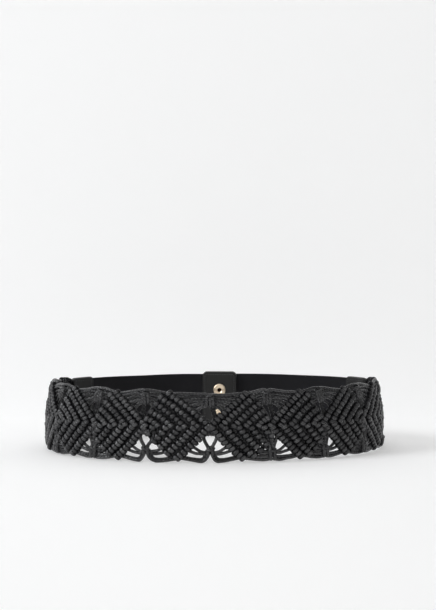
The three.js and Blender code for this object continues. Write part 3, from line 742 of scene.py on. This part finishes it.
def thread_material():
    m, nt, bsdf = new_material("thread_black")
    pos = obj_coords(nt)
    uv = node(nt, "ShaderNodeUVMap", uv_map="strand").outputs["UV"]
    sep = nt.nodes.new("ShaderNodeSeparateXYZ")
    nt.links.new(uv, sep.inputs[0])
    twist = maths(nt, "SINE", maths(nt, "MULTIPLY", maths(nt, "ADD", maths(nt, "MULTIPLY", sep.outputs[0], 9.0),
                                                          maths(nt, "MULTIPLY", sep.outputs[1], 2.0)), 2 * math.pi))
    tone = noise(nt, pos, 500.0, 2.0, 0.5)
    nt.links.new(blend_colour(nt, tone, (0.022, 0.022, 0.023), (0.060, 0.060, 0.063)), bsdf.inputs["Base Color"])
    bsdf.inputs["Roughness"].default_value = 0.45
    nt.links.new(bump(nt, twist, 0.4, 0.0001), bsdf.inputs["Normal"])
    return m


def gold_material():
    m, nt, bsdf = new_material("gold_plate")
    pos = obj_coords(nt)
    scuff = noise(nt, pos, 420.0, 4.0, 0.65)
    broad = noise(nt, pos, 90.0, 2.0, 0.5)
    plate = blend_colour(nt, broad, (1.0, 0.79, 0.56), (1.0, 0.87, 0.70))
    # painted shade: inside the barrel the colour is painted a dull dark brown, in place of the shadow in the hole
    shade = node(nt, "ShaderNodeAttribute", attribute_name="shade").outputs["Fac"]
    plate_or_painted_hollow = nt.nodes.new("ShaderNodeMix")
    plate_or_painted_hollow.data_type = "RGBA"
    plate_or_painted_hollow.inputs["B"].default_value = (0.035, 0.014, 0.004, 1)
    nt.links.new(plate, plate_or_painted_hollow.inputs["A"])
    nt.links.new(shade, plate_or_painted_hollow.inputs["Factor"])
    nt.links.new(plate_or_painted_hollow.outputs["Result"], bsdf.inputs["Base Color"])
    nt.links.new(remap(nt, scuff, 0.30, 0.50), bsdf.inputs["Roughness"])
    bsdf.inputs["Metallic"].default_value = 1.0
    nt.links.new(bump(nt, scuff, 0.08, 0.0001), bsdf.inputs["Normal"])
    return m


CORD, ELASTIC, LEATHER, THREAD, GOLD = cord_material(), elastic_material(), leather_material(), thread_material(), gold_material()

# ------------------------------------------------------------------ make the macrame
for side, word in ((1, "right"), (-1, "left")):
    rings, carriers, net, knots = Soup(), Soup(), Soup(), Soup()
    add_ribs(side, rings, carriers)
    add_bridges(side, carriers)
    add_crossings(side, carriers)
    for k in range(0, CELLS):
        add_openwork(side, k, net, knots)
    add_fan(side, net)
    rings.make("hitch_knots_" + word, CORD, "cord", "macrame_panel")
    carriers.make("rib_cores_" + word, CORD, "cord", "macrame_panel")
    net.make("open_cords_" + word, CORD, "cord", "macrame_panel")
    knots.make("gather_knots_" + word, CORD, "cord", "macrame_panel")


# ------------------------------------------------------------------ elastic
def band(side, s0, s1, low, width, thick, name, node_name):
    count = int(abs(s1 - s0) / 1.5)
    s = np.linspace(s0, s1, count)
    h = thick / 2
    # cross-section: rounded selvedges a little thicker than the middle
    prof = []
    zs = [0.0, 0.25, 0.8, 1.6, 2.4, 3.2] + list(np.linspace(5.0, width - 5.0, 24)) + [width - 3.2, width - 2.4, width - 1.6, width - 0.8, width - 0.25, width]
    th = []
    for z in zs:
        e = min(z, width - z)
        if e < 0.8:
            th.append(h * (0.35 + 0.65 * math.sqrt(max(0.0, 1 - (1 - e / 0.8) ** 2))))
        elif e < 2.0:
            th.append(h)
        elif e < 3.0:
            th.append(h * (1 - 0.22 * (e - 2.0)))
        else:
            th.append(h * 0.78)
    for z, d in zip(zs, th):
        prof.append((z, d))
    for z, d in zip(zs[::-1], th[::-1]):
        prof.append((z, -d))
    prof = np.array(prof)
    sway = 0.22 * np.sin(s * 0.11 + 0.6) + 0.12 * np.sin(s * 0.31)
    fade = ramp(0, 12, np.minimum(np.abs(s - s0), np.abs(s1 - s)))
    lift = 0.10 * np.sin(s * 0.07)
    p, _ = place(side * s[:, None], low + prof[None, :, 0] + (lift * fade)[:, None] * (prof[None, :, 0] / width),
                 prof[None, :, 1] + (sway * fade)[:, None] * np.sin(prof[None, :, 0] / width * 2.6))
    soup = Soup()
    b = len(prof)
    soup.grid(p, close_b=True, shade=0.5, along=np.append(s, s[-1] + 1), caps=False)
    # millimetres across the band in place of turns round it
    uv = soup.uv[0]
    j = np.round(uv[:, :, 1] * b).astype(int) % b
    uv = uv.copy()
    uv[:, :, 1] = prof[j, 0]
    soup.uv[0] = uv
    # end faces
    for row, turn in ((0, False), (count - 1, True)):
        ring = row * b + np.arange(b)
        half = b // 2
        for i in range(half - 1):
            quad = [ring[i], ring[i + 1], ring[b - 2 - i], ring[b - 1 - i]]
            quad = quad[::-1] if turn == (side > 0) else quad
            soup.q.append(np.array([quad]))
            soup.uv.append(np.zeros((1, 4, 2)))
    obj = soup.make(name, ELASTIC, "elastic", node_name)
    return obj, abs(s1 - s0)


ELASTIC_LOW, ELASTIC_WIDTH, ELASTIC_THICK = 3.8, 54.0, 1.4
TAB_MOUTH, TAB_END, TAB_HEIGHT, TAB_THICK, TAB_SLOT, TAB_SLOT_HEIGHT, TAB_CORNER = 251.5, 277.0, 56.5, 4.6, 2.4, 54.6, 3.0
for side, word in ((1, "right"), (-1, "left")):
    end = loop[word] - 16.5 + 9.6
    obj, length = band(side, TAB_END - 11.0, end, ELASTIC_LOW, ELASTIC_WIDTH, ELASTIC_THICK, "elastic_band_" + word, "elastic_" + word)


# ------------------------------------------------------------------ leather end tabs
def rounded_loop(w, h, r, per=6, sides=10):
    """Counter-clockwise rounded rectangle about the origin, the same number of points for any radius."""
    out = []
    r = max(r, 1e-3)
    for cx, cy, a0 in ((w / 2 - r, h / 2 - r, 0), (-w / 2 + r, h / 2 - r, 90), (-w / 2 + r, -h / 2 + r, 180), (w / 2 - r, -h / 2 + r, 270)):
        for i in range(per + 1):
            a = math.radians(a0 + 90 * i / per)
            out.append((cx + r * math.cos(a), cy + r * math.sin(a)))
        nx, ny = {0: (-w / 2 + r, h / 2), 90: (-w / 2, -h / 2 + r), 180: (w / 2 - r, -h / 2), 270: (w / 2, h / 2 - r)}[a0]
        x0, y0 = out[-1]
        for i in range(1, sides):
            f = i / sides
            out.append((x0 + (nx - x0) * f, y0 + (ny - y0) * f))
    return np.array(out)


def capsule(soup, a, b, radius, normal, shade=0.5):
    """One stitch: a short thread between two points, sunk at its ends."""
    a, b = np.asarray(a, float), np.asarray(b, float)
    t = np.linspace(0, 1, 5)
    p = a + (b - a) * t[:, None] + np.asarray(normal) * (np.sin(np.pi * t) * 0.35 - 0.12)[:, None] * radius * MM
    tube(soup, p, radius * np.array([0.55, 0.95, 1.05, 0.95, 0.55]), 6, shade)


def end_tab(side, word):
    mid = HEIGHT / 2
    ds = [0.0, 0.25, 0.7, 1.3, 2.0, 3.0]
    span = TAB_END - TAB_MOUTH
    rows = sorted(set([round(d, 4) for d in ds] + [round(x, 4) for x in np.linspace(4.0, span - 4.0, 17)] + [round(span - d, 4) for d in ds]))
    soup = Soup()
    outer, inner = [], []
    for d in rows:
        e = min(d, span - d)
        c = TAB_CORNER - math.sqrt(max(0.0, TAB_CORNER ** 2 - (TAB_CORNER - min(e, TAB_CORNER)) ** 2))
        soft = 0.55 * (1 - math.sqrt(max(0.0, 1 - (1 - min(e, 1.0)) ** 2)))
        groove = 0.32 * math.exp(-((e - 2.6) / 0.5) ** 2)
        loop_pts = rounded_loop(TAB_HEIGHT - 2 * c, TAB_THICK - 2 * soft - 2 * groove, 1.4)
        # a line of sewing also runs along the top and bottom
        from_edge = TAB_HEIGHT / 2 - np.abs(loop_pts[:, 0])
        puff = 0.22 * np.exp(-((from_edge - 2.8) / 0.55) ** 2)
        loop_pts[:, 1] -= np.sign(loop_pts[:, 1]) * puff * (np.abs(loop_pts[:, 1]) > 1.3)
        s = side * (TAB_MOUTH + d)
        p, _ = place(s, mid + loop_pts[:, 0], loop_pts[:, 1])
        outer.append(p)
        ip = rounded_loop(TAB_SLOT_HEIGHT - 1.0 * c, TAB_SLOT, 0.5)
        p, _ = place(s, mid + ip[:, 0], ip[:, 1])
        inner.append(p)
    outer, inner = np.array(outer), np.array(inner)
    ring = np.concatenate([outer, inner[::-1]])          # a closed tube section: out, back inside
    soup.grid(ring, close_a=True, close_b=True, shade=0.5, along=np.arange(len(ring) + 1) * 0.3)
    obj = soup.make("leather_tab_" + word, LEATHER, "leather", "end_tab_" + word)
    # sewing on both faces
    th = Soup()
    for face in (1, -1):
        n = face * (TAB_THICK / 2 - 0.28)
        lines = []
        for e in (2.6, span - 2.6):
            zs = np.arange(6.2, HEIGHT - 5.6, 2.35)
            lines += [((e, z), (e, z + 1.75)) for z in zs]
        for z in (5.55, HEIGHT - 5.55):
            lines += [((x, z), (x + 1.75, z)) for x in np.arange(4.2, span - 5.0, 2.35)]
        for (x0, z0), (x1, z1) in lines:
            pa, na = place(side * (TAB_MOUTH + x0), z0, n)
            pb, _ = place(side * (TAB_MOUTH + x1), z1, n)
            capsule(th, pa, pb, 0.36, na * face, 0.5 + rng.uniform(-0.2, 0.2))
    th.make("tab_stitches_" + word, THREAD, "thread")
    return obj


for side, word in ((1, "right"), (-1, "left")):
    end_tab(side, word)

# ------------------------------------------------------------------ closure tabs
CL_W, CL_H, CL_LOW, CL_T, CL_GAP, CL_CORNER = 33.0, 58.4, 1.6, 4.0, 0.4, 4.5
CL_POCKET, CL_POCKET_H, CL_POCKET_D = 2.0, 54.6, 10.2
SNAPS = (18.6, 42.6)


def closure_plate(name, w0, w1, pocket_side, node_name, hole):
    y0 = loop["back"]
    mid_z = CL_LOW + CL_H / 2
    half_t = (w1 - w0) / 2
    mid_w = (w0 + w1) / 2
    face = [(0.0, half_t - 0.95), (0.12, half_t - 0.5), (0.4, half_t - 0.18), (0.9, half_t - 0.02), (1.7, half_t - 0.04),
            (2.2, half_t - 0.20), (2.5, half_t - 0.27), (2.8, half_t - 0.20), (3.4, half_t - 0.05), (4.6, half_t), (8.0, half_t)]
    rings = []
    for inset, h in face[::-1]:
        p = rounded_loop(CL_W - 2 * inset, CL_H - 2 * inset, max(CL_CORNER - inset, 0.4), 7, 12)
        rings.append(np.stack([p[:, 0], np.full(len(p), mid_w - h), p[:, 1]], 1))
    for inset, h in face:
        p = rounded_loop(CL_W - 2 * inset, CL_H - 2 * inset, max(CL_CORNER - inset, 0.4), 7, 12)
        rings.append(np.stack([p[:, 0], np.full(len(p), mid_w + h), p[:, 1]], 1))
    rings = np.array(rings)
    rings[..., 1] += y0
    rings[..., 2] += mid_z
    soup = Soup()
    soup.grid(rings * MM, close_b=True, shade=0.5, along=np.arange(len(rings) + 1) * 0.3, caps=True)
    obj = soup.make(name, LEATHER, "leather", node_name)
    # pocket for the elastic and holes for the snaps, cut from the plate
    cutters = []
    bx = bpy.data.meshes.new("cut")
    x_in = pocket_side * (CL_W / 2 - CL_POCKET_D)
    x_out = pocket_side * (CL_W / 2 + 3)
    xs, ys, zs = sorted((x_in, x_out)), (y0 + mid_w - CL_POCKET / 2, y0 + mid_w + CL_POCKET / 2), (mid_z - CL_POCKET_H / 2, mid_z + CL_POCKET_H / 2)
    vs = [(x * MM, y * MM, z * MM) for z in zs for y in ys for x in xs]
    fs = [(0, 2, 3, 1), (4, 5, 7, 6), (0, 1, 5, 4), (2, 6, 7, 3), (0, 4, 6, 2), (1, 3, 7, 5)]
    bx.from_pydata(vs, [], fs)
    cutters.append(bx)
    for z in SNAPS:
        me = bpy.data.meshes.new("cut")
        a = 2 * math.pi * np.arange(32) / 32
        vs = [((hole * math.cos(t)) * MM, (y0 + w) * MM, (z + hole * math.sin(t)) * MM) for w in (w0 - 2, w1 + 2) for t in a]
        fs = [tuple(range(32)), tuple(range(63, 31, -1))] + [(i, i + 32, (i + 1) % 32 + 32, (i + 1) % 32) for i in range(32)]
        me.from_pydata(vs, [], fs)
        cutters.append(me)
    for me in cutters:
        c = bpy.data.objects.new("cutter", me)
        bpy.context.scene.collection.objects.link(c)
        bm_fix(c)
        mod = obj.modifiers.new("cut", "BOOLEAN")
        mod.operation, mod.solver, mod.object = "DIFFERENCE", "EXACT", c
        bpy.context.view_layer.objects.active = obj
        bpy.context.view_layer.update()
        with bpy.context.temp_override(object=obj, active_object=obj, selected_objects=[obj]):
            bpy.ops.object.modifier_apply(modifier=mod.name)
        bpy.data.objects.remove(c)
    obj.data.polygons.foreach_set("use_smooth", np.full(len(obj.data.polygons), True))
    with bpy.context.temp_override(object=obj, active_object=obj, selected_objects=[obj], selected_editable_objects=[obj]):
        bpy.ops.object.shade_smooth_by_angle(angle=math.radians(40))
    return obj


def bm_fix(o):
    import bmesh
    bm = bmesh.new()
    bm.from_mesh(o.data)
    bmesh.ops.recalc_face_normals(bm, faces=bm.faces)
    bm.to_mesh(o.data)
    bm.free()


inner_tab = closure_plate("closure_leather_inner", -CL_GAP / 2 - CL_T, -CL_GAP / 2, -1, "closure_tab_inner", 2.95)
outer_tab = closure_plate("closure_leather_outer", CL_GAP / 2, CL_GAP / 2 + CL_T, 1, "closure_tab_outer", 4.05)

th = Soup()
for w, face in ((-CL_GAP / 2 - CL_T, -1), (-CL_GAP / 2, 1), (CL_GAP / 2, -1), (CL_GAP / 2 + CL_T, 1)):
    if (face, w) in ((1, -CL_GAP / 2), (-1, CL_GAP / 2)):
        continue
    y = loop["back"] + w - face * 0.26
    path = rounded_loop(CL_W - 5.0, CL_H - 5.0, CL_CORNER - 2.5, 8, 60)
    path = np.vstack([path, path[:1]])
    dist = np.concatenate([[0], np.cumsum(np.linalg.norm(np.diff(path, axis=0), axis=1))])
    number = int(round(dist[-1] / 2.25))
    for i in range(number):
        a, b = dist[-1] * i / number, dist[-1] * (i + 0.76) / number
        pa = [np.interp(a, dist, path[:, 0]), np.interp(a, dist, path[:, 1])]
        pb = [np.interp(b, dist, path[:, 0]), np.interp(b, dist, path[:, 1])]
        mid_z = CL_LOW + CL_H / 2
        capsule(th, np.array([pa[0], y, mid_z + pa[1]]) * MM, np.array([pb[0], y, mid_z + pb[1]]) * MM, 0.36,
                (0, face, 0), 0.5 + rng.uniform(-0.2, 0.2))
th.make("closure_stitches", THREAD, "thread")


# ------------------------------------------------------------------ snaps
def lathe(name, profile, z, node_name, paint_hollow_shade=False, segs=48):
    """Profile of (radius, outwards) round a snap's own axis, which runs along Y."""
    a = 2 * math.pi * np.arange(segs) / segs
    pr = np.array(profile, float)
    p = np.stack([pr[:, 0][:, None] * np.cos(a)[None], np.broadcast_to((loop["back"] + pr[:, 1])[:, None], (len(pr), segs)),
                  z + pr[:, 0][:, None] * np.sin(a)[None]], axis=-1) * MM
    soup = Soup()
    soup.grid(p, close_b=True, shade=0.5, caps=True)
    # painted shade: vertices inside the hole get tone 1, which the gold material paints dark brown
    painted_shade_tones = np.repeat(np.array([1.0 if paint_hollow_shade and r < 1.93 and w > -4.95 else 0.0 for r, w in profile]), segs)
    soup.shade = [painted_shade_tones] + [np.array([1.0 if paint_hollow_shade else 0.0]), np.array([0.0])]
    obj = soup.make(name, GOLD, "gold", node_name)
    import bmesh
    bm = bmesh.new()
    bm.from_mesh(obj.data)
    bmesh.ops.remove_doubles(bm, verts=bm.verts, dist=1e-7)
    bmesh.ops.recalc_face_normals(bm, faces=bm.faces)
    bm.to_mesh(obj.data)
    bm.free()
    return obj


def arc_pts(cx, cy, r, a0, a1, m=6):
    return [(cx + r * math.cos(math.radians(a0 + (a1 - a0) * i / m)), cy + r * math.sin(math.radians(a0 + (a1 - a0) * i / m))) for i in range(m + 1)]


POST = ([(0.02, 1.2), (1.3, 1.2), (1.85, 0.9), (1.9, -4.9), (2.05, -5.05)] +
        [(4.1 + 1.9 * math.cos(math.radians(a)), -4.62 + 1.26 * math.sin(math.radians(a))) for a in range(205, 361, 12)] +
        [(5.9, -4.42), (5.2, -4.36), (2.75, -4.3), (2.7, -0.25), (2.62, 1.6), (2.72, 2.2), (2.4, 2.7), (1.8, 2.9), (0.02, 2.9)])
CAP = ([(0.02, 3.7), (2.85, 3.6), (2.9, 0.7), (3.2, 0.5), (3.75, 0.62), (3.85, 1.0), (3.85, 4.36), (5.6, 4.42)] +
       arc_pts(5.45, 4.95, 0.55, -70, 60, 6) + [(5.2, 5.75), (4.2, 6.12), (2.8, 6.36), (1.4, 6.47), (0.02, 6.5)])
for z, word in zip(SNAPS, ("lower", "upper")):
    lathe("snap_stud_" + word, POST, z, "snap_post_" + word, paint_hollow_shade=True)
    lathe("snap_dome_" + word, CAP, z, "snap_cap_" + word)


# ------------------------------------------------------------------ floor, wall, light, camera
def stage_material(name, tone):
    m, nt, bsdf = new_material(name)
    pos = obj_coords(nt)
    sep = nt.nodes.new("ShaderNodeSeparateXYZ")
    nt.links.new(pos, sep.inputs[0])
    # painted shade: the wall above the floor is painted half a percent darker than the floor
    nt.links.new(blend_colour(nt, remap(nt, sep.outputs[2], 0.0, 1.0, 0.001, 0.03), (tone,) * 3, (tone * 0.995,) * 3), bsdf.inputs["Base Color"])
    bsdf.inputs["Emission Color"].default_value = (1, 1, 1, 1)
    bsdf.inputs["Emission Strength"].default_value = 0.215
    bsdf.inputs["Roughness"].default_value = 0.9
    bsdf.inputs["Specular IOR Level"].default_value = 0.1
    return m


HEADING = math.radians(2.21)        # the camera looks along this, turned from +Y towards -X


def sweep_stage():
    prof = [(-3.0, 0.0), (0.24, 0.0)] + [(0.24 + 0.16 * math.sin(a), 0.16 - 0.16 * math.cos(a)) for a in np.linspace(0.1, math.pi / 2, 12)] + [(0.40, 1.6)]
    vs, fs = [], []
    for x in (-2.5, 2.5):
        for d, z in prof:
            vs.append((x * math.cos(HEADING) - d * math.sin(HEADING), x * math.sin(HEADING) + d * math.cos(HEADING), z))
    m = len(prof)
    for i in range(m - 1):
        fs.append((i, m + i, m + i + 1, i + 1))
    me = bpy.data.meshes.new("studio_sweep")
    me.from_pydata(vs, [], fs)
    me.polygons.foreach_set("use_smooth", [True] * len(fs))
    me.materials.append(stage_material("studio_white", 0.84))
    o = bpy.data.objects.new("studio_sweep", me)
    bpy.context.scene.collection.objects.link(o)


sweep_stage()


def area_light(name, at, target, size, energy, colour=(1, 1, 1), size_y=None):
    from mathutils import Vector
    data = bpy.data.lights.new(name, "AREA")
    data.shape = "RECTANGLE"
    data.size, data.size_y = size, size_y or size
    data.energy, data.color = energy, colour
    o = bpy.data.objects.new(name, data)
    bpy.context.scene.collection.objects.link(o)
    o.location = at
    o.rotation_euler = (Vector(target) - Vector(at)).to_track_quat("-Z", "Y").to_euler()
    return o


area_light("key", (-2.35, -1.2, 1.8), (0, 0, 0.03), 1.25, 47.0, (0.96, 0.98, 1.0))
area_light("fill", (1.3, -1.2, 0.9), (0, 0, 0.03), 1.0, 2.4)
area_light("front", (0.25, -2.3, 0.75), (0, 0, 0.03), 2.0, 6.4, (1.0, 0.985, 0.965), 1.2)
area_light("right_back", (1.0, 0.28, 0.9), (0.4, 0.1, 0.0), 0.8, 1.2)
area_light("over", (0.0, -0.95, 0.8), (0, 0.1, 0.04), 0.5, 1.1, (1.0, 0.98, 0.95))
area_light("top", (0.0, 0.1, 1.6), (0, 0, 0.0), 1.4, 5.0)

world = bpy.data.worlds.new("studio")
world.use_nodes = True
world.node_tree.nodes["Background"].inputs["Color"].default_value = (1, 1, 1, 1)
world.node_tree.nodes["Background"].inputs["Strength"].default_value = 0.08
bpy.context.scene.world = world
bpy.context.scene.view_settings.view_transform = "Standard"

D, ELEV = 1.7, math.radians(7.27)
cam = bpy.data.cameras.new("camera")
cam.sensor_fit = "AUTO"
cam.sensor_width = 36.0
cam.lens = 110.04
cam.clip_start, cam.clip_end = 0.05, 20.0
cam_obj = bpy.data.objects.new("camera", cam)
bpy.context.scene.collection.objects.link(cam_obj)
view = math.radians(2.30)
cam_obj.location = (D * math.cos(ELEV) * math.sin(view), -D * math.cos(ELEV) * math.cos(view) + (CENTRE_Y - 1.5) * MM, D * math.sin(ELEV))
cam_obj.rotation_euler = (math.radians(90 - 2.897), 0, HEADING)
bpy.context.scene.camera = cam_obj
